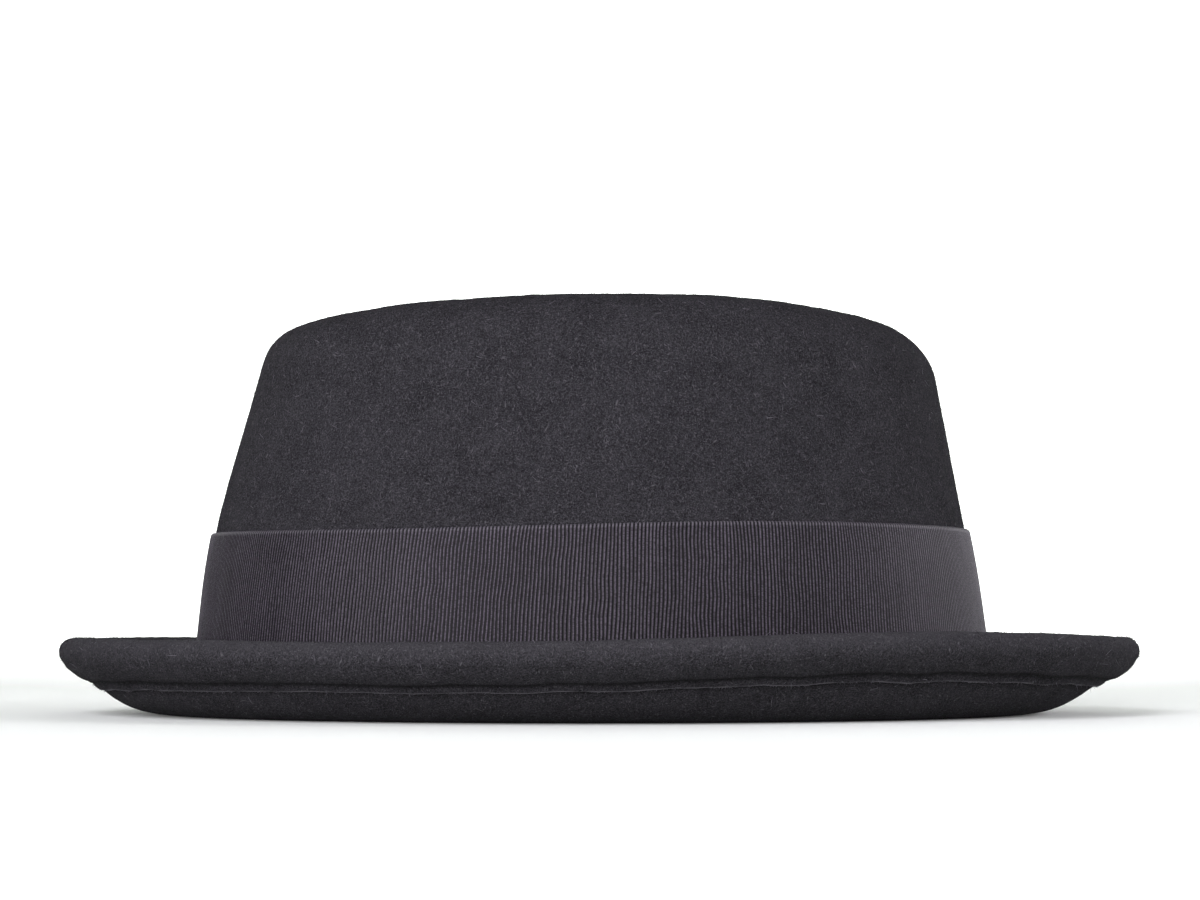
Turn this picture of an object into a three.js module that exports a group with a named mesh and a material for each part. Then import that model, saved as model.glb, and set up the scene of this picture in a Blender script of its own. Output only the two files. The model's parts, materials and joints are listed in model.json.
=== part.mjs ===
// Porkpie hat in black wool felt. Crown and brim are blocked from one piece of felt, the edge of
// the turned-up brim is folded under and stitched down, and a ribbon is wrapped round the foot
// of the crown.
// Millimetres, +Z up. +X is the front of the hat and +Y the wearer's left. The origin lies on
// the surface that the brim rests on, under the middle of the brim.
import * as THREE from 'three';

// Head opening, inside the felt where the crown meets the brim
const headLength = 204;
const headWidth = 170;

// Felt, one thickness everywhere but in the folded edge
const feltThickness = 2.5;

// Crown. Its height runs from the resting surface to the top of the ridge at the hat's sides.
const crownHeight = 105.9;
const edgeRadius = 18.4; // rounded outer edge of the crown's top
const ridgeRadius = 7; // the ridge's side towards the crease
const creaseWallSlope = 60; // degrees
const creaseDepth = 15; // from the ridge down to the bottom of the crease
const creaseRadius = 8;
const tipEdgeSlope = 10; // degrees that the tip falls towards the crease
const tipRise = 5; // the middle of the tip above the bottom of the crease

// Brim, measured along its upper face from the corner at the crown to the rim
const brimWidth = 39.3;
const breakRadius = 3; // inside corner between crown and brim

// Welt: the brim's edge folded under
const weltWidth = 14.7; // from the rim to the raw edge, along the brim
const weltThickness = 1; // the layer folded under, where the stitches press it
const rimPuff = 2; // how much the fold stands up beyond two thicknesses of felt
const rawEdgeWidth = 1.4; // the raw edge is not square but slants over this width
const stitchInset = 3; // from the raw edge to the row of stitches
const grooveWidth = 1.8;
const grooveDepth = 0.55;

// Ribbon band
const ribbonWidth = 42;
const ribbonThickness = 1;
const ribbonClearance = 0.3; // between the ribbon and the felt, and between its lapped ends
const lapLength = 14; // one end of the ribbon over the other, on the wearer's left
const lapRise = 6; // length in which the upper end climbs onto the lower one

// Smoothness of the faceted solids
const stepsRound = 64;

// Five sections from the front round one side to the back, each 45 degrees on. Ridge, edge,
// width and welt are shares of the crown's height, the edge's radius, the brim's width and the
// welt's width.
const sections = [
  { at: 'front', ridge: 0.966, edge: 1.0, width: 1.0, welt: 0.94 },
  { at: 'front quarter', ridge: 0.9925, edge: 0.89, width: 0.993, welt: 0.92 },
  { at: 'side', ridge: 1.0, edge: 0.778, width: 0.967, welt: 0.965 },
  { at: 'back quarter', ridge: 0.9845, edge: 0.71, width: 0.949, welt: 0.965 },
  { at: 'back', ridge: 0.961, edge: 0.68, width: 0.929, welt: 1.0 },
];

// How far the crown's wall leans in, in degrees at shares of its height, and how the brim curls
// up: the slope of its upper face in degrees at shares of its width, from the crown out. The
// angles are those of the five sections, and change evenly between rows, as on an arc.
const wallLean = [
  { share: 0.0, angles: [6.7, 6.2, 5.6, 5.0, 4.4] },
  { share: 0.3, angles: [7.6, 7.2, 6.9, 6.5, 6.2] },
  { share: 0.5, angles: [11.5, 11.6, 11.8, 12.0, 12.1] },
  { share: 0.65, angles: [10.2, 11.5, 13.0, 14.6, 15.9] },
  { share: 1.0, angles: [10.8, 12.0, 13.3, 14.5, 15.7] },
];
const brimCurl = [
  { share: 0.0, angles: [0, 0, 0, 0, 0] },
  { share: 0.1, angles: [0, 0, 0, 0, 0] },
  { share: 0.28, angles: [12, 18, 15, 14, 13] },
  { share: 0.46, angles: [31, 36, 32, 32, 32] },
  { share: 0.66, angles: [36, 48, 46, 48, 50] },
  { share: 0.86, angles: [66, 61, 56, 58, 64] },
  { share: 1.0, angles: [66, 61, 56, 58, 64] },
];

// The welt's thickness between the rounded fold (along 0) and the stitch groove (along 1). Puff
// is the share of the fold's extra thickness that is left there.
const weltForm = [
  { along: 0.35, puff: 0.9 },
  { along: 0.7, puff: 0.55 },
  { along: 1.0, puff: 0.13 },
];

const degrees = Math.PI / 180;
const quarterTurn = 90 * degrees;

// A value that changes smoothly round the hat and is the same on both sides of it: the cosine
// series through the values at the five sections.
function around(values, turn) {
  const last = values.length - 1;
  const endWeight = (k) => (k === 0 || k === last ? 0.5 : 1);
  let value = 0;
  for (let k = 0; k <= last; k++) {
    let term = 0;
    values.forEach((v, j) => {
      term += endWeight(j) * v * Math.cos((k * j * Math.PI) / last);
    });
    value += (2 / last) * endWeight(k) * term * Math.cos(k * turn);
  }
  return value;
}

const sectionValue = (name, turn) => around(sections.map((row) => row[name]), turn);

// The angle that a table of angles gives at a share, in radians.
function angleAt(table, share, turn) {
  const next = Math.max(1, table.findIndex((row) => row.share >= share));
  const [from, to] = [table[next - 1], table[next]];
  const part = (share - from.share) / (to.share - from.share);
  return around(from.angles.map((angle, k) => angle + (to.angles[k] - angle) * part), turn) * degrees;
}

// Distance from the crown's axis to the felt's outer face at the foot of the crown.
function footRadius(turn) {
  const a = headLength / 2 + feltThickness;
  const b = headWidth / 2 + feltThickness;
  return (a * b) / Math.hypot(b * Math.cos(turn), a * Math.sin(turn));
}

// A point of a section: distance from the axis, height, and the angle of the surface's normal
// above the horizontal, which gives the felt its thickness.
const facePoint = (r, z, normal) => ({ r, z, normal });

const offsetPoint = (point, depth) => ({
  r: point.r - depth * Math.cos(point.normal),
  z: point.z - depth * Math.sin(point.normal),
  normal: point.normal,
});

// Points of an arc between two normals. A positive radius bulges out, a negative one is hollow.
function arc(centre, radius, fromNormal, toNormal, steps) {
  const points = [];
  for (let i = 0; i <= steps; i++) {
    const normal = fromNormal + ((toNormal - fromNormal) * i) / steps;
    points.push(offsetPoint(facePoint(centre.r, centre.z, normal), -radius));
  }
  return points;
}

// The crown's wall from its foot up to the rounded edge, found by walking up in even steps.
function wall(turn) {
  const lean = angleAt(wallLean, 1, turn);
  const footLean = angleAt(wallLean, 0, turn);
  const edge = edgeRadius * sectionValue('edge', turn);
  const foot = feltThickness + breakRadius * (1 - Math.sin(footLean));
  const top = crownHeight * sectionValue('ridge', turn) - edge * (1 - Math.sin(lean));
  const walkSteps = 60;
  const stride = (top - foot) / walkSteps;
  const walk = [facePoint(footRadius(turn), foot, footLean)];
  for (let i = 1; i <= walkSteps; i++) {
    const r = walk.at(-1).r - stride * Math.tan(angleAt(wallLean, (i - 0.5) / walkSteps, turn));
    walk.push(facePoint(r, foot + i * stride, angleAt(wallLean, i / walkSteps, turn)));
  }
  const at = (height) => walk[Math.round((height - foot) / stride)];
  return { at, foot, top, lean, edge };
}

// The crown's outer face from the middle of the tip down to the foot of the wall.
function crownFace(turn) {
  const { at, foot, top, lean, edge } = wall(turn);
  const wallTop = at(top);
  const ridge = crownHeight * sectionValue('ridge', turn);
  const edgeCentre = { r: wallTop.r - edge * Math.cos(lean), z: ridge - edge };
  const ridgeCentre = { r: edgeCentre.r, z: ridge - ridgeRadius };
  const inward = quarterTurn + creaseWallSlope * degrees;
  const outward = quarterTurn - tipEdgeSlope * degrees;
  const ridgeArc = arc(ridgeCentre, ridgeRadius, inward, quarterTurn, 3);

  // The crease's arc starts where the straight side of the ridge, of this length, ends.
  const creaseFloor = crownHeight * sections.at(-1).ridge - creaseDepth;
  const fall = ridgeArc[0].z - (creaseFloor + creaseRadius * (1 - Math.cos(creaseWallSlope * degrees)));
  const run = fall / Math.tan(creaseWallSlope * degrees);
  const creaseCentre = {
    r: ridgeArc[0].r - run - creaseRadius * Math.sin(creaseWallSlope * degrees),
    z: creaseFloor + creaseRadius,
  };
  const crease = arc(creaseCentre, -creaseRadius, outward, inward, 4);

  // The tip: level in the middle, and falling at its own slope where the crease begins.
  const tipEdge = crease[0];
  const tip = [];
  const tipSteps = 3;
  const middle = creaseFloor + tipRise;
  for (let i = 0; i < tipSteps; i++) {
    const u = i / tipSteps;
    const edgeSlope = -Math.tan(tipEdgeSlope * degrees) * tipEdge.r;
    const height = middle + (tipEdge.z - middle) * u * u * (3 - 2 * u) + edgeSlope * u * u * (u - 1);
    const slope = ((tipEdge.z - middle) * 6 * u * (1 - u) + edgeSlope * u * (3 * u - 2)) / tipEdge.r;
    tip.push(facePoint(tipEdge.r * u, height, quarterTurn + Math.atan(slope)));
  }

  const side = [];
  const wallSteps = 6;
  for (let i = 1; i <= wallSteps; i++) side.push(at(top + ((foot - top) * i) / wallSteps));
  const roundedEdge = arc(edgeCentre, edge, quarterTurn, lean, 5).slice(1);
  return [...tip, ...crease, ...ridgeArc, ...roundedEdge, ...side];
}

// The fold at the rim is this thick, and its nose is a half circle.
const rimRadius = (2 * feltThickness + rimPuff) / 2;
const weltPressed = feltThickness + weltThickness;

// Places across the brim, as distances back from the rim, that need a point of their own: first
// on the single felt, then on the welt.
function brimPlaces(width, rawEdge) {
  const flatEnd = width * (1 - brimCurl[1].share);
  const weltEnd = rawEdge + rawEdgeWidth / 2;
  const single = [];
  const singleSteps = 5;
  for (let i = 0; i <= singleSteps; i++) {
    single.push({ back: flatEnd + ((weltEnd - flatEnd) * i) / singleSteps, depth: feltThickness });
  }
  const stitches = rawEdge - stitchInset;
  const folded = weltForm.map(({ along, puff }) => ({
    back: rimRadius + (stitches - grooveWidth / 2 - rimRadius) * along,
    depth: weltPressed + (2 * rimRadius - weltPressed) * puff,
  }));
  return {
    single,
    welt: [
      { back: rimRadius, depth: 2 * rimRadius },
      ...folded,
      { back: stitches, depth: weltPressed - grooveDepth },
      { back: stitches + grooveWidth / 2, depth: weltPressed },
      { back: rawEdge - rawEdgeWidth / 2, depth: weltPressed },
    ],
  };
}

// The brim from the foot of the wall out over its upper face, round the rim and back along its
// lower face to the head opening.
function brimFaces(turn, foot) {
  const width = brimWidth * sectionValue('width', turn);
  const breakCentre = { r: foot.r + breakRadius * Math.cos(foot.normal), z: feltThickness + breakRadius };
  const corner = arc(breakCentre, -breakRadius, foot.normal, quarterTurn, 3);

  // The upper face, found by walking outwards in even steps.
  const walkSteps = 240;
  const walk = [corner.at(-1)];
  const stride = width / walkSteps;
  for (let i = 1; i <= walkSteps; i++) {
    const slope = angleAt(brimCurl, (i - 0.5) / walkSteps, turn);
    const here = walk.at(-1);
    walk.push({
      r: here.r + stride * Math.cos(slope),
      z: here.z + stride * Math.sin(slope),
      normal: quarterTurn + angleAt(brimCurl, i / walkSteps, turn),
    });
  }
  const upperAt = (back) => walk[Math.round((width - back) / stride)];

  const { single, welt } = brimPlaces(width, weltWidth * sectionValue('welt', turn));
  const upper = [...single, welt[4], welt[2]].map(({ back }) => upperAt(back));
  const shoulder = upperAt(rimRadius);
  const noseCentre = offsetPoint(shoulder, rimRadius);
  const nose = arc(noseCentre, rimRadius, shoulder.normal, shoulder.normal - 2 * quarterTurn, 6);
  const face = (places) => places.map(({ back, depth }) => offsetPoint(upperAt(back), depth));
  return {
    corner: corner.slice(1),
    upper,
    nose,
    lower: [...face(welt.slice(1)), ...face(single).reverse()],
  };
}

// A whole section of the felt, from the middle of the tip over the outside and back inside.
function feltSection(turn) {
  const crown = crownFace(turn);
  const brim = brimFaces(turn, crown.at(-1));
  const inside = [...crown, ...brim.corner].map((point) => offsetPoint(point, feltThickness));
  return [...crown, ...brim.corner, ...brim.upper, ...brim.nose, ...brim.lower, ...inside.reverse()];
}

// The crown stands a little behind the middle of the brim, whose front is wider than its back.
function reach(turn) {
  return Math.max(...feltSection(turn).map((point) => point.r));
}
const crownAxis = (reach(2 * quarterTurn) - reach(0)) / 2;

const place = (point, turn) => [
  crownAxis + point.r * Math.cos(turn),
  point.r * Math.sin(turn),
  point.z,
];

function meshFrom(name, material, positions, triangles) {
  const geometry = new THREE.BufferGeometry();
  geometry.setAttribute('position', new THREE.Float32BufferAttribute(positions.flat(), 3));
  geometry.setIndex(triangles.flat());
  geometry.computeVertexNormals();
  const mesh = new THREE.Mesh(geometry, material);
  mesh.name = name;
  return mesh;
}

// Felt body: the sections joined all the way round, and closed at the axis outside and inside.
function feltBody(material) {
  const positions = [];
  const triangles = [];
  const columns = [];
  for (let i = 0; i < stepsRound; i++) {
    const turn = (i / stepsRound) * 4 * quarterTurn;
    columns.push(feltSection(turn).map((point) => place(point, turn)));
  }
  const count = columns[0].length;
  const inner = count - 2; // points of a column between the two poles
  positions.push(columns[0][0], columns[0][count - 1]);
  columns.forEach((column) => positions.push(...column.slice(1, -1)));
  const [topPole, insidePole] = [0, 1];
  for (let i = 0; i < stepsRound; i++) {
    const a = 2 + i * inner;
    const b = 2 + ((i + 1) % stepsRound) * inner;
    triangles.push([topPole, a, b], [insidePole, b + inner - 1, a + inner - 1]);
    for (let j = 0; j < inner - 1; j++) {
      triangles.push([a + j, a + j + 1, b + j + 1], [a + j, b + j + 1, b + j]);
    }
  }
  return meshFrom('felt_body', material, positions, triangles);
}

// Ribbon band: one strip wrapped once round the wall, its end lapped over its start.
function ribbonBand(material) {
  const rows = 4;
  const seam = quarterTurn; // the wearer's left
  const sideRadius = footRadius(seam);
  const rise = lapRise / sideRadius;
  const lap = lapLength / sideRadius;
  const layer = ribbonThickness + ribbonClearance;

  const turns = [];
  for (let i = 0; i <= stepsRound; i++) turns.push(seam + (i / stepsRound) * 4 * quarterTurn);
  const lapStart = turns.pop(); // the strip's start lies under it
  const lifted = lapStart - rise / 4;
  const steps = [
    ...turns.filter((turn) => turn < lapStart - rise * 1.2).map((turn) => ({ turn, lift: 0 })),
    { turn: lapStart - rise, lift: 0 },
    { turn: lapStart - rise * 0.6, lift: layer * 0.5 },
    { turn: lifted, lift: layer },
    { turn: lapStart + lap / 2, lift: layer },
    { turn: lapStart + lap, lift: layer },
  ];

  const positions = [];
  steps.forEach(({ turn, lift }) => {
    const { at, foot } = wall(turn);
    for (const side of [0, 1]) {
      for (let row = 0; row < rows; row++) {
        const height = foot + ribbonClearance + (ribbonWidth * row) / (rows - 1);
        const proud = ribbonClearance + lift + side * ribbonThickness;
        positions.push(place(offsetPoint(at(height), -proud), turn));
      }
    }
  });

  // A step's points: the inner face from the bottom up, then the outer face from the bottom up.
  const triangles = [];
  const quad = (a, b, c, d) => triangles.push([a, b, c], [a, c, d]);
  const index = (step, side, row) => (step * 2 + side) * rows + row;
  const lastRow = rows - 1;
  const last = steps.length - 1;
  for (let i = 0; i < last; i++) {
    for (let row = 0; row < lastRow; row++) {
      quad(index(i, 1, row), index(i + 1, 1, row), index(i + 1, 1, row + 1), index(i, 1, row + 1));
      quad(index(i, 0, row + 1), index(i + 1, 0, row + 1), index(i + 1, 0, row), index(i, 0, row));
    }
    quad(index(i, 0, 0), index(i + 1, 0, 0), index(i + 1, 1, 0), index(i, 1, 0));
    quad(index(i, 1, lastRow), index(i + 1, 1, lastRow), index(i + 1, 0, lastRow), index(i, 0, lastRow));
  }
  for (let row = 0; row < lastRow; row++) {
    quad(index(0, 1, row), index(0, 1, row + 1), index(0, 0, row + 1), index(0, 0, row));
    quad(index(last, 0, row), index(last, 0, row + 1), index(last, 1, row + 1), index(last, 1, row));
  }
  return meshFrom('ribbon_band', material, positions, triangles);
}

const blackFelt = new THREE.MeshStandardMaterial({ color: 0x29282b, roughness: 0.95, metalness: 0 });
const ribbedRibbon = new THREE.MeshStandardMaterial({ color: 0x2f2c32, roughness: 0.7, metalness: 0 });

const hat = new THREE.Group();
hat.add(feltBody(blackFelt), ribbonBand(ribbedRibbon));

export default hat;
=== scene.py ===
# Black wool felt porkpie hat: fine felt body, ribbed ribbon, stitched welt and loose fibres,
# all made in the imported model's frame. Lengths in the dictionaries are millimetres.
import math
import random

import bpy
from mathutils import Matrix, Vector, noise
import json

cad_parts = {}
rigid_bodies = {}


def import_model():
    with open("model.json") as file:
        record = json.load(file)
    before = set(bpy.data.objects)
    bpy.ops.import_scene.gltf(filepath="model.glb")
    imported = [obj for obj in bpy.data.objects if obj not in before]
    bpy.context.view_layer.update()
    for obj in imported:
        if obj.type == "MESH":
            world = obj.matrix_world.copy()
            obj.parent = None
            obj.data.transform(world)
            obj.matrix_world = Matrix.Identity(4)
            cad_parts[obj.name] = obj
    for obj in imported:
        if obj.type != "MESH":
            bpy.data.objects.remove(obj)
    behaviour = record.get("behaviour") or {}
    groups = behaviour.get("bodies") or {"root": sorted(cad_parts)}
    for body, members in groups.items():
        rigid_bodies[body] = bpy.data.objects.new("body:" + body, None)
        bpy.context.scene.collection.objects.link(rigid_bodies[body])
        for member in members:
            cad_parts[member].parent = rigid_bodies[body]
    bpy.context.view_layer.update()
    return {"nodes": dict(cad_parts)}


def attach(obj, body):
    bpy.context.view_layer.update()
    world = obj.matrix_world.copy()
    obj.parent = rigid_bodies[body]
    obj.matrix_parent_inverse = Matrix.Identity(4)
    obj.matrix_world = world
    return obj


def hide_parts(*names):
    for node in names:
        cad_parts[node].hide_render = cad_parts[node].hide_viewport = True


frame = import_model()
print("frame loaded:", ", ".join(frame["nodes"]))


# camera, at the photograph's angle: nearly level with the brim
view = {
    "distance": 900,
    "height": 23.5,
    "side": 0.3,
    "lens": 101.7,
    "tiltUp": 2.94,
}
camera = bpy.data.objects.new("camera", bpy.data.cameras.new("camera"))
camera.data.lens = view["lens"]
camera.data.sensor_width = 36
camera.data.clip_start = 0.01
camera.location = Vector((view["side"], -view["distance"], view["height"])) / 1000
camera.rotation_euler = (math.radians(90 + view["tiltUp"]), 0, 0)
bpy.context.collection.objects.link(camera)
bpy.context.scene.camera = camera
bpy.context.scene.view_settings.view_transform = "Standard"  # a plain photograph's contrast


# small tools for meshes, node trees and colours
def lerp(a, b, part):
    return a + (b - a) * part


def linearColour(code):
    channels = [int(code[i:i + 2], 16) / 255 for i in (1, 3, 5)]
    return [c / 12.92 if c <= 0.04045 else ((c + 0.055) / 1.055) ** 2.4 for c in channels] + [1]


def addNode(tree, kind, settings=None, inputs=None):
    node = tree.nodes.new(kind)
    for name, value in (settings or {}).items():
        setattr(node, name, value)
    for key, value in (inputs or {}).items():
        if isinstance(value, bpy.types.NodeSocket):
            tree.links.new(value, node.inputs[key])
        else:
            node.inputs[key].default_value = value
    return node


def newPiece(name, points, faces, material=None, attributes=None):
    mesh = bpy.data.meshes.new(name)
    mesh.from_pydata([(x / 1000, y / 1000, z / 1000) for x, y, z in points], [], faces)
    mesh.validate()
    mesh.shade_smooth()
    for key, values in (attributes or {}).items():
        isVector = len(values) > 0 and not isinstance(values[0], float)
        layer = mesh.attributes.new(key, "FLOAT_VECTOR" if isVector else "FLOAT", "POINT")
        if isVector:
            layer.data.foreach_set("vector", [c for vector in values for c in vector])
        else:
            layer.data.foreach_set("value", values)
    piece = bpy.data.objects.new(name, mesh)
    if material:
        mesh.materials.append(material)
    bpy.context.collection.objects.link(piece)
    return piece


def newTree(name, sockets):
    tree = bpy.data.node_groups.new(name, "GeometryNodeTree")
    tree.interface.new_socket("Geometry", in_out="INPUT", socket_type="NodeSocketGeometry")
    for label, (kind, value) in sockets.items():
        socket = tree.interface.new_socket(label, in_out="INPUT", socket_type="NodeSocket" + kind)
        if value is not None:
            socket.default_value = value
    tree.interface.new_socket("Geometry", in_out="OUTPUT", socket_type="NodeSocketGeometry")
    return tree, addNode(tree, "NodeGroupInput").outputs


# real instances and the material come last, because only plain meshes are exported
def closeTree(tree, geometry, material):
    real = addNode(tree, "GeometryNodeRealizeInstances", inputs={"Geometry": geometry})
    dressed = addNode(tree, "GeometryNodeSetMaterial", inputs={
        "Geometry": real.outputs[0], "Material": material})
    addNode(tree, "NodeGroupOutput", inputs={"Geometry": dressed.outputs[0]})


def growPiece(name, source, tree, values):
    modifier = source.modifiers.new(tree.name, "NODES")
    modifier.node_group = tree
    for item in tree.interface.items_tree:
        if item.item_type == "SOCKET" and item.in_out == "INPUT" and item.name in values:
            modifier[item.identifier] = values[item.name]
    graph = bpy.context.evaluated_depsgraph_get()
    mesh = bpy.data.meshes.new_from_object(source.evaluated_get(graph), depsgraph=graph)
    source.modifiers.remove(modifier)
    mesh.name = name
    mesh.materials.clear()
    mesh.materials.append(values["Material"])
    mesh.polygons.foreach_set("material_index", [0] * len(mesh.polygons))
    piece = bpy.data.objects.new(name, mesh)
    bpy.context.collection.objects.link(piece)
    return piece


# fibres that lie one way within each cell of a loose net, and another way in the next cell
def fibreLayer(tree, place, cell, width, length):
    nest = addNode(tree, "ShaderNodeTexVoronoi", inputs={"Vector": place, "Scale": 1000 / cell})
    lay = addNode(tree, "ShaderNodeVectorMath", {"operation": "MULTIPLY"}, {
        0: nest.outputs["Color"], 1: (6.28, 3.14, 6.28)}).outputs[0]
    turned = addNode(tree, "ShaderNodeVectorRotate", {"rotation_type": "EULER_XYZ"}, {
        "Vector": place, "Rotation": lay}).outputs[0]
    drawn = addNode(tree, "ShaderNodeVectorMath", {"operation": "MULTIPLY"}, {
        0: turned, 1: (1000 / length, 1000 / width, 1000 / width)}).outputs[0]
    return addNode(tree, "ShaderNodeTexNoise", inputs={
        "Vector": drawn, "Scale": 1.0, "Detail": 0.0}).outputs["Fac"]


def mixed(tree, share, first, second):
    node = addNode(tree, "ShaderNodeMix", {"data_type": "RGBA"}, {
        "Factor": share, 6: first if not isinstance(first, str) else linearColour(first),
        7: second if not isinstance(second, str) else linearColour(second)})
    return node.outputs[2]


def ranged(tree, value, low, high, toLow=0.0, toHigh=1.0):
    node = addNode(tree, "ShaderNodeMapRange", inputs={
        "Value": value, "From Min": low, "From Max": high, "To Min": toLow, "To Max": toHigh})
    return node.outputs["Result"]


def maths(tree, operation, first, second, third=None, clamp=False):
    inputs = {0: first, 1: second}
    if third is not None:
        inputs[2] = third
    return addNode(tree, "ShaderNodeMath", {"operation": operation, "use_clamp": clamp}, inputs).outputs[0]


# wool felt, blocked and brushed: no gloss at all, a dark ground mottled over a few millimetres,
# and short fibres matted in every direction that catch light as fine pale flecks
def makeWoolFelt():
    felt = {
        "ground": "#111112",
        "fibre": "#363538",
        # tip also gives the painted highlight along the rim's top
        "tip": "#545356",
        # painted shade for the stitch groove and the crevice behind the raw edge
        "groove": "#070707",
        "frayed": "#5b595d",
        "patch": 9,  # mottling
        "fleck": 0.4,  # fibre ends, the finest that the render shows
        "strands": ((1.3, 0.28, 1.3), (2.2, 0.36, 2.0)),  # net, width and length; a real one is 0.03 wide
    }
    material = bpy.data.materials.new("blocked wool felt")
    material.use_nodes = True
    tree = material.node_tree
    shader = tree.nodes["Principled BSDF"]
    place = addNode(tree, "ShaderNodeTexCoord").outputs["Object"]

    layers = [fibreLayer(tree, place, *sizes) for sizes in felt["strands"]]
    strands = maths(tree, "MAXIMUM", layers[0], layers[1])
    flecks = addNode(tree, "ShaderNodeTexNoise", inputs={
        "Vector": place, "Scale": 1000 / felt["fleck"], "Detail": 1.0, "Roughness": 0.7}).outputs["Fac"]
    patches = addNode(tree, "ShaderNodeTexNoise", inputs={
        "Vector": place, "Scale": 1000 / felt["patch"], "Detail": 3.0, "Roughness": 0.55}).outputs["Fac"]
    woolly = maths(tree, "MULTIPLY_ADD", ranged(tree, strands, 0.46, 0.74), 0.45, ranged(
        tree, patches, 0.3, 0.7, 0.0, 0.18))
    woolly = maths(tree, "MULTIPLY_ADD", ranged(tree, flecks, 0.36, 0.66), 0.55, woolly, clamp=True)
    colour = mixed(tree, woolly, felt["ground"], felt["fibre"])
    colour = mixed(tree, ranged(tree, strands, 0.72, 0.84, 0, 0.6), colour, felt["tip"])
    # painted light in the base colour: a painted highlight along the rim's top, painted shade in the stitch
    # groove and in the crevice behind the raw edge; then the cut edge's pale fibres
    for name, shade in (("brushed", felt["tip"]), ("pressed", felt["groove"]), ("frayed", felt["frayed"])):
        mark = addNode(tree, "ShaderNodeAttribute", {"attribute_name": name}).outputs["Fac"]
        colour = mixed(tree, mark, colour, shade)
    tree.links.new(colour, shader.inputs["Base Color"])

    nap = maths(tree, "ADD", strands, flecks)
    relief = addNode(tree, "ShaderNodeBump", inputs={"Height": nap, "Strength": 0.7, "Distance": 0.00035})
    tree.links.new(relief.outputs[0], shader.inputs["Normal"])
    shader.inputs["Roughness"].default_value = 1.0
    shader.inputs["IOR"].default_value = 1.5
    shader.inputs["Specular IOR Level"].default_value = 0.02
    return material


# grosgrain, woven of rayon warp over thick cotton ribs, a shade more purple than the felt: each rib's crest
# is painted light as a soft satin highlight and the line beside it is painted dark as shade
def makeGrosgrain():
    ribbon = {
        "gap": "#030303",
        "crest": "#4e4852",
        # pale rib ends at the edges: the woven selvedge and a painted highlight
        "selvedgeAndHighlight": "#5d5a60",
        "warp": 0.34,  # spacing of the warp threads along a rib, drawn a little coarse
        "cloud": 14,
    }
    material = bpy.data.materials.new("grosgrain ribbon")
    material.use_nodes = True
    tree = material.node_tree
    shader = tree.nodes["Principled BSDF"]
    place = addNode(tree, "ShaderNodeTexCoord").outputs["Object"]
    crest = addNode(tree, "ShaderNodeAttribute", {"attribute_name": "crest"}).outputs["Fac"]
    edge = addNode(tree, "ShaderNodeAttribute", {"attribute_name": "selvedgeAndHighlight"}).outputs["Fac"]
    threads = addNode(tree, "ShaderNodeMapping", inputs={
        "Vector": place, "Scale": (1000 / 0.6, 1000 / 0.6, 1000 / ribbon["warp"])}).outputs[0]
    warp = addNode(tree, "ShaderNodeTexNoise", inputs={
        "Vector": threads, "Scale": 1.0, "Detail": 0.0}).outputs["Fac"]
    cloud = addNode(tree, "ShaderNodeTexNoise", inputs={
        "Vector": place, "Scale": 1000 / ribbon["cloud"], "Detail": 2.0}).outputs["Fac"]
    # the crests' painted highlight and the gaps' painted shade stand in for light on the ribs' relief, broken
    # by the warp threads and a slow cloud
    lit = maths(tree, "MULTIPLY", crest, ranged(tree, warp, 0.3, 0.7, 0.45, 1.25))
    lit = maths(tree, "MULTIPLY", lit, ranged(tree, cloud, 0.3, 0.7, 0.85, 1.1), clamp=True)
    colour = mixed(tree, lit, ribbon["gap"], ribbon["crest"])
    colour = mixed(tree, edge, colour, ribbon["selvedgeAndHighlight"])
    tree.links.new(colour, shader.inputs["Base Color"])
    relief = addNode(tree, "ShaderNodeBump", inputs={"Height": warp, "Strength": 0.5, "Distance": 0.00012})
    tree.links.new(relief.outputs[0], shader.inputs["Normal"])
    shader.inputs["Roughness"].default_value = 0.44
    shader.inputs["IOR"].default_value = 1.47
    shader.inputs["Specular IOR Level"].default_value = 0.12
    return material


# spun sewing thread and single wool hairs need one colour each, with a little variation
def makeThread(name, dark, light, grain, roughness):
    material = bpy.data.materials.new(name)
    material.use_nodes = True
    tree = material.node_tree
    shader = tree.nodes["Principled BSDF"]
    place = addNode(tree, "ShaderNodeTexCoord").outputs["Object"]
    twist = addNode(tree, "ShaderNodeTexNoise", inputs={
        "Vector": place, "Scale": 1000 / grain, "Detail": 1.0}).outputs["Fac"]
    colour = mixed(tree, ranged(tree, twist, 0.35, 0.65), dark, light)
    tree.links.new(colour, shader.inputs["Base Color"])
    shader.inputs["Roughness"].default_value = roughness
    shader.inputs["Specular IOR Level"].default_value = 0.05
    return material


woolFelt = makeWoolFelt()
grosgrain = makeGrosgrain()
sewingThread = makeThread("cotton sewing thread", "#111112", "#202021", 0.4, 0.8)
woolFuzz = makeThread("brushed wool fuzz", "#141314", "#353338", 3, 0.9)
paleHair = makeThread("loose wool hairs", "#353338", "#6e6b72", 5, 0.8)
print("materials made")


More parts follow.
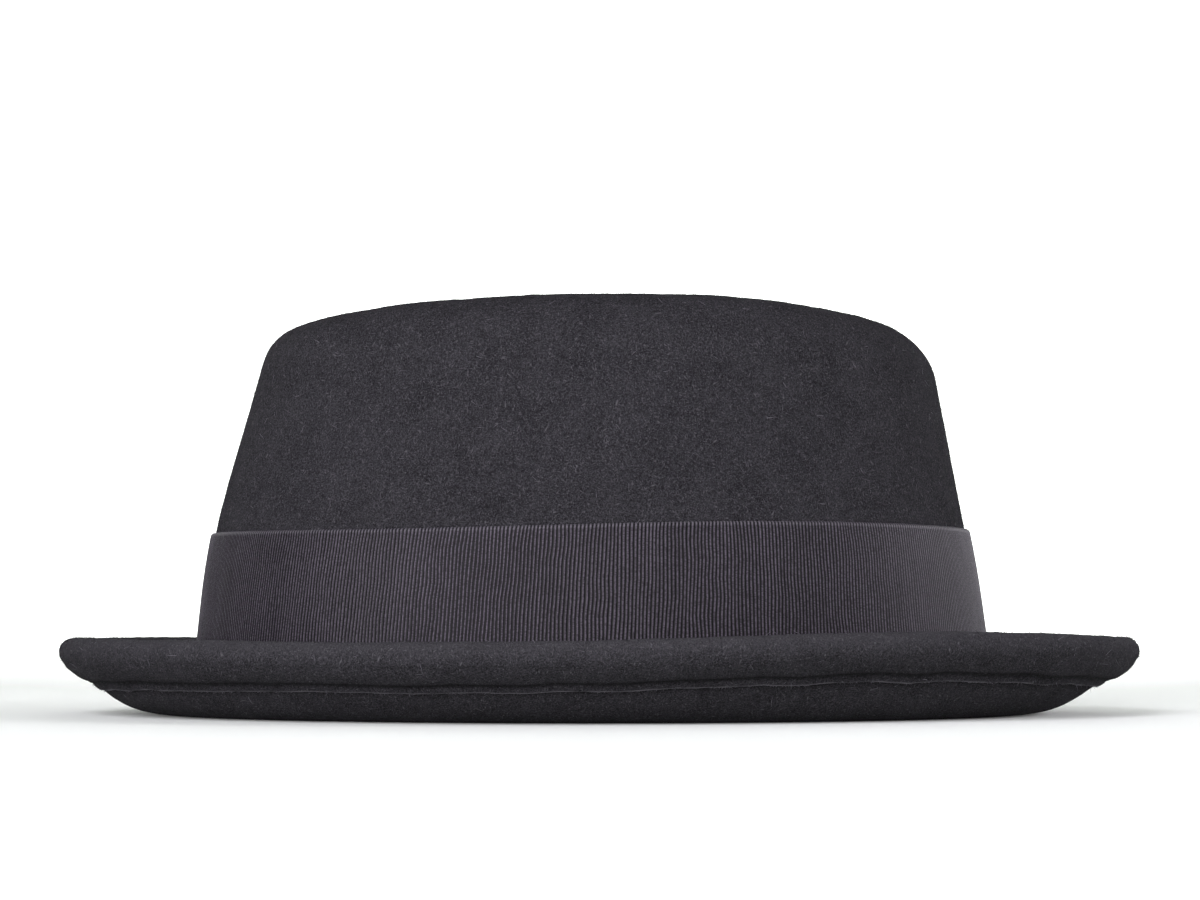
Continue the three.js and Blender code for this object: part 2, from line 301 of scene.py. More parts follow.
# felt body: the hat's section turned round the crown's axis. Lists of five are values for the
# front, front quarter, side, back quarter and back, blended by a cosine series in between.
body = {
    "headLength": 204,
    "headWidth": 170,
    "thickness": 2.5,
    "axis": -1.55,
    "crownHeight": 105.9,
    "ridge": [0.966, 0.9925, 1.0, 0.9845, 0.961],
    "edgeRadius": [18.4, 16.4, 14.3, 13.1, 12.5],
    "ridgeRadius": 7,
    "creaseWallSlope": 60,
    "creaseDepth": 15,
    "creaseRadius": 8,
    "tipEdgeSlope": 10,
    "tipRise": 5,
    "wallLean": {
        0.0: [6.7, 6.2, 5.6, 5.0, 4.4],
        0.3: [7.6, 7.2, 6.9, 6.5, 6.2],
        0.5: [11.5, 11.6, 11.8, 12.0, 12.1],
        0.65: [10.2, 11.5, 13.0, 14.6, 15.9],
        1.0: [10.8, 12.0, 13.3, 14.5, 15.7],
    },
    "breakRadius": 3,
    "brimWidth": [38.8, 38.7, 38.0, 37.1, 36.1],
    "brimCurl": {
        0.0: [0, 0, 0, 0, 0],
        0.1: [0, 0, 0, 0, 0],
        0.28: [12, 18, 15, 14, 13],
        0.46: [31, 36, 32, 32, 32],
        0.66: [36, 48, 46, 48, 50],
        0.86: [66, 61, 56, 58, 64],
        1.0: [66, 61, 56, 58, 64],
    },
    "columns": 480,
    "unevenness": 0.22,
    "waves": ((16, 1), (4.5, 0.45), (2.1, 0.6)),  # size and share of each wave of the unevenness
}
welt = {
    "width": [13.8, 13.5, 14.2, 14.2, 14.7],
    "layer": 1.0,
    "puff": 2,
    "form": {0: 1, 0.35: 0.88, 0.7: 0.53, 0.92: 0.25, 1: 0.18},
    "stitchInset": 3,
    "grooveWidth": 0.9,
    "grooveDepth": 0.3,
    "pinch": 0.12,
    "lipTaper": 0.3,
    "rawEdgeWander": 0.6,
    "upperDip": (1.1, 0.35, 0.25),  # over the stitches: width, depth and what a pinch adds
    "crevice": ((0.03, -0.1), (0.1, 0.25), (0.4, 0.1), (0.9, 0)),  # behind the raw edge: place, depth
    "pressed": (0.62, 0.58, 0.45, 0.26, 0.1),  # shade of the groove, row by row from its middle
    "shaded": (0.95, 1, 0.8, 0.25),  # and of the crevice
    "frayed": (1, 1, 0.85, 0.4),  # paleness from the raw edge forward
    "brushed": (0.36, 0.15, 0.45),  # painted highlight on the rim's top: strength, place and width on the fold
}


def stationWeights(turn):
    weights = []
    for j in range(5):
        weight = 0
        for k in range(5):
            ends = (0.5 if k in (0, 4) else 1) * (0.5 if j in (0, 4) else 1)
            weight += 0.5 * ends * math.cos(k * j * math.pi / 4) * math.cos(k * turn)
        weights.append(weight)
    return weights


def blend(values, weights):
    return sum(v * w for v, w in zip(values, weights))


def curveAt(rows, share):
    shares = sorted(rows)
    upper = next((s for s in shares if s >= share), shares[-1])
    lower = max((s for s in shares if s < upper), default=upper)
    part = (share - lower) / (upper - lower) if upper > lower else 0
    return lerp(rows[lower], rows[upper], part)


# angles of a table along a section, already blended for one turn
def anglesAt(table, weights, steps):
    rows = {share: blend(angles, weights) for share, angles in table.items()}
    return [math.radians(curveAt(rows, i / steps)) for i in range(steps + 1)]


def offset(point, depth):
    r, z, normal = point
    return (r - depth * math.cos(normal), z - depth * math.sin(normal), normal)


def arcPoints(centreR, centreZ, radius, start, end, steps):
    normals = [lerp(start, end, i / steps) for i in range(steps + 1)]
    return [(centreR + radius * math.cos(n), centreZ + radius * math.sin(n), n) for n in normals]


def footRadius(turn):
    a = body["headLength"] / 2 + body["thickness"]
    b = body["headWidth"] / 2 + body["thickness"]
    return a * b / math.hypot(b * math.cos(turn), a * math.sin(turn))


# wall from its foot up, as evenly spaced points
def wallPoints(turn, weights, steps=60):
    angles = anglesAt(body["wallLean"], weights, 2 * steps)
    edge = blend(body["edgeRadius"], weights)
    foot = body["thickness"] + body["breakRadius"] * (1 - math.sin(angles[0]))
    top = body["crownHeight"] * blend(body["ridge"], weights) - edge * (1 - math.sin(angles[-1]))
    stride = (top - foot) / steps
    r = footRadius(turn)
    points = [(r, foot, angles[0])]
    for i in range(steps):
        r -= stride * math.tan(angles[2 * i + 1])
        points.append((r, foot + (i + 1) * stride, angles[2 * i + 2]))
    return points


def crownPoints(turn, weights):
    wall = wallPoints(turn, weights)
    wallTop = wall[-1]
    lean = wallTop[2]
    edge = blend(body["edgeRadius"], weights)
    ridge = body["crownHeight"] * blend(body["ridge"], weights)
    ridgeR = wallTop[0] - edge * math.cos(lean)
    inward = math.radians(90 + body["creaseWallSlope"])
    outward = math.radians(90 - body["tipEdgeSlope"])
    level = math.radians(90)
    ridgeArc = arcPoints(ridgeR, ridge - body["ridgeRadius"], body["ridgeRadius"], inward, level, 8)
    slope = math.radians(body["creaseWallSlope"])
    floor = body["crownHeight"] * body["ridge"][-1] - body["creaseDepth"]
    fall = ridgeArc[0][1] - floor - body["creaseRadius"] * (1 - math.cos(slope))
    creaseR = ridgeArc[0][0] - fall / math.tan(slope) - body["creaseRadius"] * math.sin(slope)
    crease = arcPoints(creaseR, floor + body["creaseRadius"], -body["creaseRadius"], outward, inward, 10)
    tipR, tipZ = crease[0][:2]
    middle = floor + body["tipRise"]
    edgeSlope = -math.tan(math.radians(body["tipEdgeSlope"])) * tipR
    tip = []
    for i in range(16):
        u = i / 16
        z = middle + (tipZ - middle) * u * u * (3 - 2 * u) + edgeSlope * u * u * (u - 1)
        steep = ((tipZ - middle) * 6 * u * (1 - u) + edgeSlope * u * (3 * u - 2)) / tipR
        tip.append((tipR * u, z, level + math.atan(steep)))
    straight = []
    r0, z0, normal = crease[-1]
    r1, z1 = ridgeArc[0][:2]
    for i in (1, 2):
        straight.append((lerp(r0, r1, i / 3), lerp(z0, z1, i / 3), normal))
    roundedEdge = arcPoints(ridgeR, ridge - edge, edge, level, lean, 12)[1:]
    return tip + crease + straight + ridgeArc + roundedEdge, wall[-2::-1]


# the brim's upper face from the corner at the crown to the rim, in even strides
def brimWalk(foot, weights, steps=240):
    width = blend(body["brimWidth"], weights)
    angles = anglesAt(body["brimCurl"], weights, 2 * steps)
    level = math.radians(90)
    points = [(foot[0] + body["breakRadius"] * math.cos(foot[2]), body["thickness"], level)]
    for i in range(steps):
        r, z = points[-1][:2]
        slope = angles[2 * i + 1]
        step = width / steps
        points.append((r + step * math.cos(slope), z + step * math.sin(slope), level + angles[2 * i + 2]))
    return points, width


# how deep the folded edge reaches below the brim's upper face, at a distance back from the rim
def weltDepth(back, rawEdge, pinched):
    single = body["thickness"]
    fold = 2 * single + welt["puff"]
    flat = single + welt["layer"]
    stitches = rawEdge - welt["stitchInset"]
    if back < stitches:
        along = (back - fold / 2) / (stitches - fold / 2)
        depth = flat + (fold - flat) * curveAt(welt["form"], min(max(along, 0), 1))
    else:
        along = (back - stitches) / welt["stitchInset"]
        depth = flat + (fold - flat) * welt["form"][1] * max(0, 1 - along * 4) - welt["lipTaper"] * along ** 2
    roll = math.exp(-((back - stitches) / welt["grooveWidth"]) ** 2)
    rounding = 0.2 * max(0, 1 - (rawEdge - back) / 0.4) ** 2
    return depth - roll * (welt["grooveDepth"] + pinched * welt["pinch"]) - rounding


def feltSection(column):
    turn = 2 * math.pi * column / body["columns"]
    weights = stationWeights(turn)
    t = body["thickness"]
    top, wall = crownPoints(turn, weights)
    outerWall = wall[::3] + ([wall[-1]] if (len(wall) - 1) % 3 else [])
    foot = wall[-1]
    level = math.radians(90)
    cornerR = foot[0] + body["breakRadius"] * math.cos(foot[2])
    corner = arcPoints(cornerR, t + body["breakRadius"], -body["breakRadius"], foot[2], level, 5)[1:]
    walk, width = brimWalk(foot, weights)

    def upperAt(back):
        place = min(max((width - back) / width, 0), 1) * (len(walk) - 1)
        i = min(int(place), len(walk) - 2)
        return tuple(lerp(a, b, place - i) for a, b in zip(walk[i], walk[i + 1]))

    nose = t + welt["puff"] / 2
    wander = noise.noise(Vector((math.cos(turn) * 9, math.sin(turn) * 9, 0)))
    rawEdge = blend(welt["width"], weights) + welt["rawEdgeWander"] * wander
    stitches = rawEdge - welt["stitchInset"]
    pinched = 1 if column % 2 == 0 else 0
    dipWidth, dipDepth, dipPinch = welt["upperDip"]
    upper = []
    for i in range(1, 27):
        back = lerp(width, nose, i / 26)
        point = upperAt(back)
        dip = math.exp(-((back - stitches) / dipWidth) ** 2) * (dipDepth + dipPinch * pinched)
        upper.append(offset(point, dip))
    shoulder = upperAt(nose)
    centre = offset(shoulder, nose)
    rim = arcPoints(centre[0], centre[1], nose, shoulder[2], shoulder[2] - math.pi, 14)[1:]
    places = [lerp(nose, stitches - 1.8, i / 9) for i in range(1, 10)]
    places += [stitches + d for d in (-1.3, -0.95, -0.6, -0.3, 0, 0.3, 0.6, 0.95, 1.3)]
    places += [rawEdge - d for d in (1.2, 0.8, 0.5, 0.25, 0.08, 0)]
    lower = [offset(upperAt(back), weltDepth(back, rawEdge, pinched)) for back in places]
    # under the raw edge the surface steps in and leaves a crevice
    shelf = [offset(upperAt(rawEdge + d), t - e) for d, e in welt["crevice"]]
    flatEnd = width * 0.9
    single = [offset(upperAt(lerp(rawEdge + 0.8, flatEnd, i / 12)), t) for i in range(1, 13)]
    under = [offset(upperAt(width), t)]
    inside = [offset(point, t) for point in top[::2] + outerWall[::2] + [foot] + corner[:-1]]
    inside = inside[::-1]
    outer = top + outerWall + corner + upper + rim
    loop = outer + lower + shelf + single + under + inside
    marks = {
        "groove": len(outer) + 9 + 4,
        "upperGroove": upperAt(stitches),
        "rawEdge": len(outer) + len(lower) - 1,
        "crown": len(top) + len(outerWall),
        "rimStart": len(outer) - len(rim),
        "rimEnd": len(outer),
    }
    return turn, loop, marks, wander


def placed(point, turn, push=0):
    r, z, normal = point
    r += push * math.cos(normal)
    z += push * math.sin(normal)
    return (body["axis"] + r * math.cos(turn), r * math.sin(turn), z)


def makeFeltBody():
    points, pressed, frayed, brushed, faces = [], [], [], [], []
    stitchLines, lip = {"under": [], "upper": []}, []
    highlightStrength, highlightPlace, highlightWidth = welt["brushed"]
    count = None
    for column in range(body["columns"]):
        turn, loop, marks, wander = feltSection(column)
        count = len(loop)
        fray = min(max(0.7 + 1.1 * noise.noise(Vector((math.cos(turn), math.sin(turn), 2)) * 25), 0.2), 1)
        for j, point in enumerate(loop):
            x, y, z = placed(point, turn)
            place = Vector((x, y, z + 300))
            wave = sum(share * noise.noise(place / size) for size, share in body["waves"])
            push = body["unevenness"] * wave if j < marks["crown"] or z > 4 else 0
            x, y, z = placed(point, turn, push)
            points.append((x, y, max(z, 0)))
            # painted shade in the stitch groove and, behind the raw edge, in its crevice
            near = abs(j - marks["groove"])
            shadow = welt["pressed"][near] if near < 5 else 0
            pale = 0.0
            back = marks["rawEdge"] - j
            if 0 <= back <= 3:
                pale = welt["frayed"][back] * fray
            elif -4 <= back < 0:
                shadow = welt["shaded"][-back - 1]
            pressed.append(float(shadow))
            frayed.append(float(pale))
            # painted highlight along the top of the rim's fold, the same all round
            fold = (j - marks["rimStart"]) / (marks["rimEnd"] - marks["rimStart"])
            brushed.append(highlightStrength * math.exp(-((fold - highlightPlace) / highlightWidth) ** 2))
        lip += points[-count + marks["rawEdge"] - 1:-count + marks["rawEdge"] + 2]
        stitchLines["under"].append(points[-count + marks["groove"]])
        stitchLines["upper"].append(placed(offset(marks["upperGroove"], 0.45), turn))
    for i in range(body["columns"]):
        a, b = i * count, (i + 1) % body["columns"] * count
        for j in range(count - 1):
            faces.append((a + j, a + j + 1, b + j + 1, b + j))
    shading = {"pressed": pressed, "frayed": frayed, "brushed": brushed}
    return points, faces, shading, stitchLines, lip, count


# the poles close to one point each, outside and inside
def closePoles(points, faces, columns, count):
    poles = {}
    for row in (0, count - 1):
        ring = [points[i * count + row] for i in range(columns)]
        poles[row] = len(points)
        points.append(tuple(sum(axis) / columns for axis in zip(*ring)))
    used = set()
    closed = []
    for face in faces:
        fixed = []
        for v in face:
            row = v % count if v < columns * count else -1
            v = poles.get(row, v)
            if v not in fixed:
                fixed.append(v)
        closed.append(tuple(fixed))
        used.update(fixed)
    keep = sorted(used)
    index = {v: i for i, v in enumerate(keep)}
    return [points[v] for v in keep], [tuple(index[v] for v in face) for face in closed], keep


points, faces, shading, stitchLines, lip, count = makeFeltBody()
points, faces, keep = closePoles(points, faces, body["columns"], count)
for name, values in shading.items():
    shading[name] = [values[v] if v < len(values) else 0.0 for v in keep]
feltPiece = newPiece("felt_crown_and_brim", points, faces, woolFelt, shading)
print("felt body:", len(faces), "faces")


# ribbon: a strip round the foot of the wall. Its columns follow the ribs, six to a rib, each rib raised in
# the strip, and the tree below lets them waver together, as woven ribs do.
band = {
    "width": 42,
    "thickness": 1.0,
    "clearance": 0.3,
    "ribPitch": 0.934,
    "ribDepth": 0.14,
    "lean": 0.055,  # sideways for each millimetre up, where the ribs lean most
    "leanMost": -50,  # degrees round from the front
    "halfwayIn": 2.2,  # how far the wall leans in up to half the ribbon's height
    "rise": [0.55, 0.95, -0.05, -1.0, -0.6],  # of the top edge, from the front to the back
    "toothHeight": 0.2,
    "waver": 0.3,
    "waverSize": 9,
    "perRib": 6,
    "lap": 14,
    "lapRise": 6,
    "rows": [0, 0.25, 0.55, 1.1, 3, 6.5, 10.5, 15, 19.5, 24, 28.5, 33, 37, 39.5, 40.9, 41.45, 41.75, 42],
}


def bandStrip():
    seam = math.pi / 2
    start = band["clearance"]
    layer = band["thickness"] + band["clearance"]
    # arc length round the wall at half the ribbon's height
    samples = 1440
    lengths, turns = [0.0], [seam]
    previous = None
    lapTurn = (band["lap"] + 2) / footRadius(seam)
    total = 2 * math.pi + lapTurn
    for i in range(samples + 1):
        turn = seam + total * i / samples
        r = footRadius(turn) - band["halfwayIn"]
        here = Vector((r * math.cos(turn), r * math.sin(turn)))
        if previous is not None:
            lengths.append(lengths[-1] + (here - previous).length)
            turns.append(turn)
        previous = here
    once = lengths[min(range(len(turns)), key=lambda i: abs(turns[i] - seam - 2 * math.pi))]
    fullLength = once + band["lap"]
    ribs = int(fullLength / band["ribPitch"])
    columns = ribs * band["perRib"]
    step = fullLength / columns
    points, crest, selvedgeAndHighlight, along, faces = [], [], [], [], []
    cursor = 0
    for c in range(columns + 1):
        s = c * step
        while lengths[cursor + 1] < s and cursor < len(lengths) - 2:
            cursor += 1
        part = (s - lengths[cursor]) / (lengths[cursor + 1] - lengths[cursor])
        turn = lerp(turns[cursor], turns[cursor + 1], part)
        weights = stationWeights(turn)
        wall = wallPoints(turn, weights, 30)
        stride = wall[1][1] - wall[0][1]
        climb = min(max((s - (once - band["lapRise"])) / band["lapRise"], 0), 1)
        lift = start + layer * climb * climb * (3 - 2 * climb)
        phase = (c % band["perRib"]) / band["perRib"]
        high = math.sin(math.pi * phase) ** 2
        rib = random.Random(c // band["perRib"]).uniform(0.86, 1.08)
        ahead = Vector(placed((footRadius(turn + 0.001), 0, 0), turn + 0.001))
        tangent = (ahead - Vector(placed((footRadius(turn), 0, 0), turn))).normalized()
        lean = band["lean"] * (0.5 + 0.5 * math.cos(turn - math.radians(band["leanMost"]))) ** 2
        stretch = 1 + blend(band["rise"], weights) / band["width"]
        wallAt = []
        for row in band["rows"]:
            height = row * stretch
            if row > band["width"] - 0.1:
                height += band["toothHeight"] * (high - 0.5)
            place = (height + 0.3) / stride
            i = min(int(place), len(wall) - 2)
            wallAt.append(tuple(lerp(a, b, place - i) for a, b in zip(wall[i], wall[i + 1])))
        for height, point in zip(band["rows"], wallAt):
            inset = min(height, band["width"] - height)
            edge = 1.0 if inset < 0.6 else 0.0
            rounded = 0.35 if inset < 0.1 else (0.1 if inset < 0.3 else 0)
            depth = lift + band["thickness"] - rounded - band["ribDepth"] * (1 - high) * (1 - 0.6 * edge)
            slide = tangent * lean * (height - band["width"] / 2)
            points.append(tuple(Vector(placed(offset(point, -depth), turn)) + slide))
            # painted highlight on each rib's crest, fading to painted shade in the gap
            crest.append(float(high ** 3 * rib))
            # pale rib ends along the edges: partly the woven selvedge, partly a painted highlight at each
            # rib's end
            selvedgeAndHighlight.append(float(edge * 0.85 * high * high))
        for height, point in ((band["width"], wallAt[-1]), (0, wallAt[0])):
            slide = tangent * lean * (height - band["width"] / 2)
            points.append(tuple(Vector(placed(offset(point, -lift), turn)) + slide))
            crest.append(0.0)
            selvedgeAndHighlight.append(0.0)
        along += [tuple(tangent)] * (len(band["rows"]) + 2)
    loop = len(band["rows"]) + 2
    for c in range(columns):
        a, b = c * loop, (c + 1) * loop
        for j in range(loop):
            k = (j + 1) % loop
            faces.append((a + j, b + j, b + k, a + k))
    faces.append(tuple(range(loop - 1, -1, -1))[::-1])
    faces.append(tuple(columns * loop + j for j in range(loop - 1, -1, -1)))
    return points, faces, {"crest": crest, "selvedgeAndHighlight": selvedgeAndHighlight, "along": along}, fullLength


# ribs waver: each point slides along the band by smooth noise of its place
def wavingRibs():
    tree, inputs = newTree("wavingRibs", {
        "Waver": ("Float", 0.0002),
        "Noise size": ("Float", 0.012),
        "Material": ("Material", None),
    })
    place = addNode(tree, "GeometryNodeInputPosition").outputs[0]
    along = addNode(tree, "GeometryNodeInputNamedAttribute", {"data_type": "FLOAT_VECTOR"}, {
        "Name": "along"}).outputs[0]
    scale = maths(tree, "DIVIDE", 1.0, inputs["Noise size"])
    drift = addNode(tree, "ShaderNodeTexNoise", inputs={
        "Vector": place, "Scale": scale, "Detail": 1.0}).outputs["Fac"]
    drift = maths(tree, "MULTIPLY", maths(tree, "SUBTRACT", drift, 0.5), inputs["Waver"])
    drift = maths(tree, "MULTIPLY", drift, 4.0)
    slide = addNode(tree, "ShaderNodeVectorMath", {"operation": "SCALE"}, {
        0: along, "Scale": drift}).outputs[0]
    moved = addNode(tree, "GeometryNodeSetPosition", inputs={
        "Geometry": inputs["Geometry"], "Offset": slide}).outputs[0]
    closeTree(tree, moved, inputs["Material"])
    return tree


points, faces, weave, bandLength = bandStrip()
strip = newPiece("ribbon_strip", points, faces, grosgrain, weave)
bandPiece = growPiece("grosgrain_band", strip, wavingRibs(), {
    "Waver": band["waver"] / 1000, "Noise size": band["waverSize"] / 1000, "Material": grosgrain})
bpy.data.objects.remove(strip)
bandPiece.data.shade_smooth()
print("ribbon:", len(bandPiece.data.polygons), "faces, flat length", round(bandLength, 1), "mm")


# lockstitch row of the welt: one stitch between two pinched holes, on both faces of the brim
stitch = {
    "thread": 0.42,
    "share": 0.8,  # of the distance between holes
}


def stitchSeats(name, line):
    seats, along = [], []
    total = len(line)
    for i in range(1, total, 2):
        before, after = Vector(line[i - 1]), Vector(line[(i + 1) % total])
        seats.append(tuple((before + after) / 2))
        along.append(tuple((after - before) / 1000))
    return newPiece(name, seats, [], None, {"along": along})


def stitchRow():
    tree, inputs = newTree("stitchRow", {
        "Thread": ("Float", 0.0004),
        "Share": ("Float", 0.8),
        "Seed": ("Int", 0),
        "Material": ("Material", None),
    })
    along = addNode(tree, "GeometryNodeInputNamedAttribute", {"data_type": "FLOAT_VECTOR"}, {
        "Name": "along"}).outputs[0]
    span = addNode(tree, "ShaderNodeVectorMath", {"operation": "LENGTH"}, {0: along}).outputs["Value"]
    span = maths(tree, "MULTIPLY", span, inputs["Share"])
    thread = addNode(tree, "GeometryNodeMeshUVSphere", inputs={"Segments": 8, "Rings": 6, "Radius": 0.5})
    jitter = addNode(tree, "FunctionNodeRandomValue", {"data_type": "FLOAT"}, {
        2: 0.85, 3: 1.05, "Seed": inputs["Seed"]}).outputs[1]
    length = maths(tree, "MULTIPLY", span, jitter)
    size = addNode(tree, "ShaderNodeCombineXYZ", inputs={
        0: length, 1: inputs["Thread"], 2: inputs["Thread"]}).outputs[0]
    turned = addNode(tree, "FunctionNodeAlignRotationToVector", {"axis": "X"}, {
        "Vector": along}).outputs[0]
    dots = addNode(tree, "GeometryNodeInstanceOnPoints", inputs={
        "Points": inputs["Geometry"], "Instance": thread.outputs["Mesh"],
        "Rotation": turned, "Scale": size}).outputs[0]
    closeTree(tree, dots, inputs["Material"])
    return tree


stitchTree = stitchRow()
stitchPieces = []
for side, line in stitchLines.items():
    seats = stitchSeats("seats_" + side, line)
    row = growPiece("welt_stitches_" + side, seats, stitchTree, {
        "Thread": stitch["thread"] / 1000, "Share": stitch["share"], "Seed": 4, "Material": sewingThread})
    bpy.data.objects.remove(seats)
    row.data.shade_smooth()
    stitchPieces.append(row)
print("stitches:", sum(len(row.data.polygons) for row in stitchPieces), "faces")


# wool hairs: short straight fuzz of the felt's own colour that stands a little off it, a few longer
# bent pale ones that lie on it, and a pale fringe along the cut edge
hairs = {
    "fuzz": {"length": 0.72, "perSquareCm": 46, "stand": 42, "material": woolFuzz, "seed": 3, "bent": False},
    "stray": {"length": 1.9, "perSquareCm": 1.5, "stand": 9, "material": paleHair, "seed": 8, "bent": True},
    "fringe": {
        "length": 0.6, "perSquareCm": 700, "stand": 22, "material": paleHair, "seed": 5, "bent": False},
    "thickness": 0.09,  # three times a real hair's, so that it shows
}


# one hair a metre long, which the tree scales down
def hairShape(name, slender, bent):
    rings = ((0, 0, 1.0), (0.55, 0.09, 0.8)) if bent else ((0, 0, 1.0),)
    points = []
    for x, lift, size in rings:
        for k in range(3):
            angle = 2 * math.pi * k / 3
            points.append((1000 * x, 500 * size * slender * math.cos(angle),
                           1000 * lift + 500 * size * slender * math.sin(angle)))
    points.append((1000, 0, 260 if bent else 0))
    last = 3 * (len(rings) - 1)
    faces = [(0, 2, 1)] + [(last + k, last + (k + 1) % 3, last + 3) for k in range(3)]
    for k in range(last):
        faces.append((k, (k + 1) % 3, 3 + (k + 1) % 3, 3 + k))
    return newPiece(name, points, faces)


def looseHairs():
    tree, inputs = newTree("looseHairs", {
        "Hair": ("Object", None),
        "Density": ("Float", 100000.0),
        "Length": ("Float", 0.0015),
        "Stand": ("Float", 0.4),
        "Seed": ("Int", 0),
        "Material": ("Material", None),
    })

    def chance(low, high, extra):
        seed = maths(tree, "ADD", inputs["Seed"], float(extra))
        return addNode(tree, "FunctionNodeRandomValue", {"data_type": "FLOAT"}, {
            2: low, 3: high, "Seed": seed}).outputs[1]

    spread = addNode(tree, "GeometryNodeDistributePointsOnFaces", inputs={
        "Mesh": inputs["Geometry"], "Density": inputs["Density"], "Seed": inputs["Seed"]})
    hair = addNode(tree, "GeometryNodeObjectInfo", inputs={"Object": inputs["Hair"]}).outputs["Geometry"]
    rise = maths(tree, "MULTIPLY", maths(tree, "POWER", chance(0.0, 1.0, 11), 1.6), inputs["Stand"])
    local = addNode(tree, "ShaderNodeCombineXYZ", inputs={
        1: maths(tree, "MULTIPLY", rise, -1.0), 2: 0.0}).outputs[0]
    spin = addNode(tree, "ShaderNodeCombineXYZ", inputs={2: chance(0.0, 2 * math.pi, 23)}).outputs[0]
    turned = spread.outputs["Rotation"]
    for step in (spin, local):
        turned = addNode(tree, "FunctionNodeRotateRotation", {"rotation_space": "LOCAL"}, {
            "Rotation": turned, "Rotate By": step}).outputs[0]
    size = maths(tree, "MULTIPLY", chance(0.45, 1.35, 37), inputs["Length"])
    placedHairs = addNode(tree, "GeometryNodeInstanceOnPoints", inputs={
        "Points": spread.outputs["Points"], "Instance": hair, "Rotation": turned, "Scale": size}).outputs[0]
    closeTree(tree, placedHairs, inputs["Material"])
    return tree


# the felt's outside in two parts, so that each crop of hairs stays a moderate mesh
def feltPart(name, keepFace):
    source = feltPiece.data
    faces = [tuple(f.vertices) for f in source.polygons if keepFace(f.center * 1000, f.normal)]
    used = sorted({v for face in faces for v in face})
    index = {v: i for i, v in enumerate(used)}
    points = [tuple(source.vertices[v].co * 1000) for v in used]
    return newPiece(name, points, [tuple(index[v] for v in face) for face in faces])


def onCrown(centre, normal):
    outward = (centre.x - body["axis"]) * normal.x + centre.y * normal.y
    return centre.z > 49 and (normal.z > 0.05 or outward > 0)


# the underside is worn smooth
def onBrim(centre, normal):
    radial = math.hypot((centre.x - body["axis"]) / 111, centre.y / 94)
    return radial > 1 and centre.z > 1.5 and normal.z > -0.74


# the cut lip of the welt, where the fibres are loose and pale
def lipStrip():
    faces = []
    for i in range(body["columns"]):
        a, b = 3 * i, 3 * ((i + 1) % body["columns"])
        faces += [(a, a + 1, b + 1, b), (a + 1, a + 2, b + 2, b + 1)]
    return newPiece("lip_ground", lip, faces)


hairTree = looseHairs()
hairPieces = []
# each ground with its crops, and how much denser and longer they are there
grounds = {
    "crown": (feltPart("crown_ground", onCrown), ("fuzz", "stray"), 1.0, 1.0),
    "brim": (feltPart("brim_ground", onBrim), ("fuzz", "stray"), 1.45, 1.1),
    "raw_edge": (lipStrip(), ("fringe",), 1.0, 1.0),
}
for place, (ground, crops, denser, longer) in grounds.items():
    for crop in crops:
        sizes = hairs[crop]
        form = hairShape("hair_form", hairs["thickness"] / sizes["length"], sizes["bent"])
        piece = growPiece(place + "_" + crop, ground, hairTree, {
            "Hair": form, "Density": sizes["perSquareCm"] * 10000.0 * denser,
            "Length": sizes["length"] * longer / 1000,
            "Stand": math.radians(sizes["stand"]) * 2, "Seed": sizes["seed"], "Material": sizes["material"]})
        bpy.data.objects.remove(form)
        hairPieces.append(piece)
        print(piece.name + ":", len(piece.data.polygons), "faces")
    bpy.data.objects.remove(ground)


# every piece is part of the one rigid body
for piece in [feltPiece, bandPiece] + stitchPieces + hairPieces:
    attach(piece, "root")
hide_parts("felt_body")
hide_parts("ribbon_band")
print("pieces set on the frame")


# pale seamless sweep: a floor that curves up into a wall all round. The part behind the hat glows of itself,
# though no lamp lights it, as a sweep lit through would, so it is as pale as the floor in front; all of it
# glows faintly.
sweep = {
    "flat": 2500,
    "bend": 1500,
    "height": 3000,
    "tone": "#f4f8f2",
    "glow": 1.0,
    "floorGlow": 0.06,
}


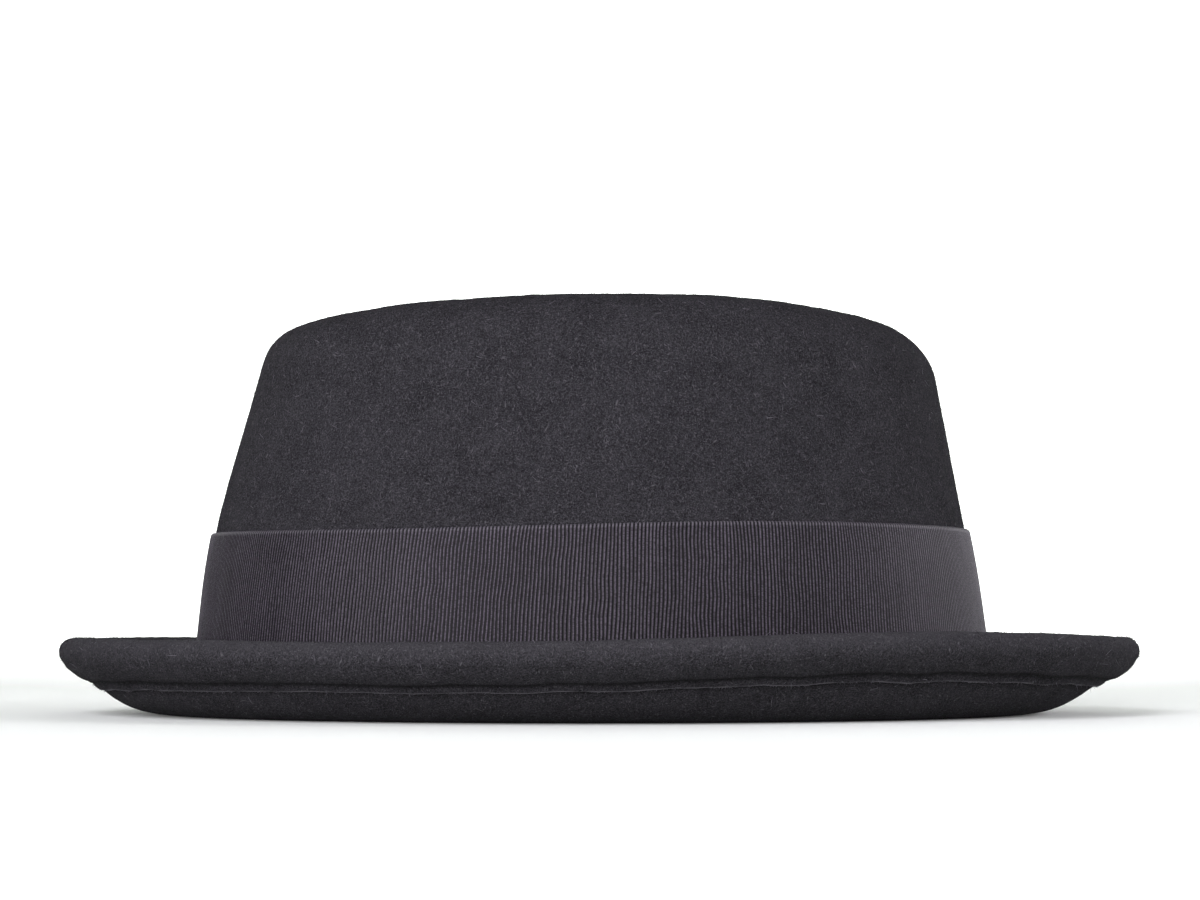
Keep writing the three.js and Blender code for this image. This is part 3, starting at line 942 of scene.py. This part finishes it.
def makeSweep():
    profile = [(0, 0), (400, 0), (1200, 0), (sweep["flat"], 0)]
    for i in range(1, 13):
        a = math.radians(90 * i / 12)
        profile.append((sweep["flat"] + sweep["bend"] * math.sin(a), sweep["bend"] * (1 - math.cos(a))))
    profile.append((sweep["flat"] + sweep["bend"], sweep["bend"] + sweep["height"]))
    around = 64
    points, faces = [], []
    for i in range(around):
        a = 2 * math.pi * i / around
        points += [(r * math.cos(a), r * math.sin(a), z) for r, z in profile[1:]]
    rows = len(profile) - 1
    points.append((0, 0, 0))
    for i in range(around):
        a, b = i * rows, (i + 1) % around * rows
        faces.append((len(points) - 1, a, b))
        for j in range(rows - 1):
            faces.append((a + j, a + j + 1, b + j + 1, b + j))
    paper = bpy.data.materials.new("matt white paper")
    paper.use_nodes = True
    tree = paper.node_tree
    shader = tree.nodes["Principled BSDF"]
    fibre = addNode(tree, "ShaderNodeTexNoise", inputs={
        "Vector": addNode(tree, "ShaderNodeTexCoord").outputs["Object"], "Scale": 900.0, "Detail": 2.0})
    relief = addNode(tree, "ShaderNodeBump", inputs={
        "Height": fibre.outputs["Fac"], "Strength": 0.1, "Distance": 0.0002})
    tree.links.new(relief.outputs[0], shader.inputs["Normal"])
    parts = addNode(tree, "ShaderNodeSeparateXYZ", inputs={
        0: addNode(tree, "ShaderNodeTexCoord").outputs["Object"]}).outputs
    away = maths(tree, "SQRT", maths(tree, "MULTIPLY_ADD", parts[0], parts[0], maths(
        tree, "MULTIPLY", parts[1], parts[1])), 0.0)
    # painted light: the sheet glows though it is no lamp, most behind the hat and more so further off
    behind = ranged(tree, maths(tree, "DIVIDE", parts[1], away), 0.86, 0.95, 0.0, sweep["glow"])
    glow = maths(tree, "MULTIPLY_ADD", ranged(tree, away, 0.2, 2.2), behind, sweep["floorGlow"])
    tree.links.new(glow, shader.inputs["Emission Strength"])
    shader.inputs["Emission Color"].default_value = linearColour("#ffffff")
    paper.cycles.emission_sampling = "NONE"  # too broad a glow to be worth aiming at
    shader.inputs["Base Color"].default_value = linearColour(sweep["tone"])
    shader.inputs["Roughness"].default_value = 0.95
    shader.inputs["Specular IOR Level"].default_value = 0.1
    return newPiece("paper_sweep", points, faces, paper)


floor = makeSweep()


# soft studio light: a large key in front on the left with a low fill beside it, a weaker lamp on
# the right, and one behind it that grazes the ribbon's end
lights = {
    "key": {"place": (-800, -1950, 1150), "size": 1100, "watts": 45, "colour": "#f6f1fe"},
    "fill": {"place": (-900, -1450, 130), "size": 500, "watts": 23, "colour": "#f8f3fc"},
    "rightSide": {"place": (2000, -500, 700), "size": 900, "watts": 24, "colour": "#f7f1fd"},
    "rightBack": {"place": (1600, 1050, 480), "size": 600, "watts": 8, "colour": "#f7f1fd"},
}
for name, light in lights.items():
    lamp = bpy.data.lights.new(name, "AREA")
    lamp.shape = "SQUARE"
    lamp.size = light["size"] / 1000
    lamp.energy = light["watts"]
    lamp.color = linearColour(light["colour"])[:3]
    holder = bpy.data.objects.new(name, lamp)
    holder.location = Vector(light["place"]) / 1000
    holder.rotation_euler = (Vector((0, 0, 0.05)) - holder.location).to_track_quat("-Z", "Y").to_euler()
    bpy.context.collection.objects.link(holder)
world = bpy.data.worlds.new("studio")
world.use_nodes = True
background = world.node_tree.nodes["Background"]
background.inputs["Color"].default_value = linearColour("#f8f6fc")
background.inputs["Strength"].default_value = 0.06
bpy.context.scene.world = world
print("stage and lights set")
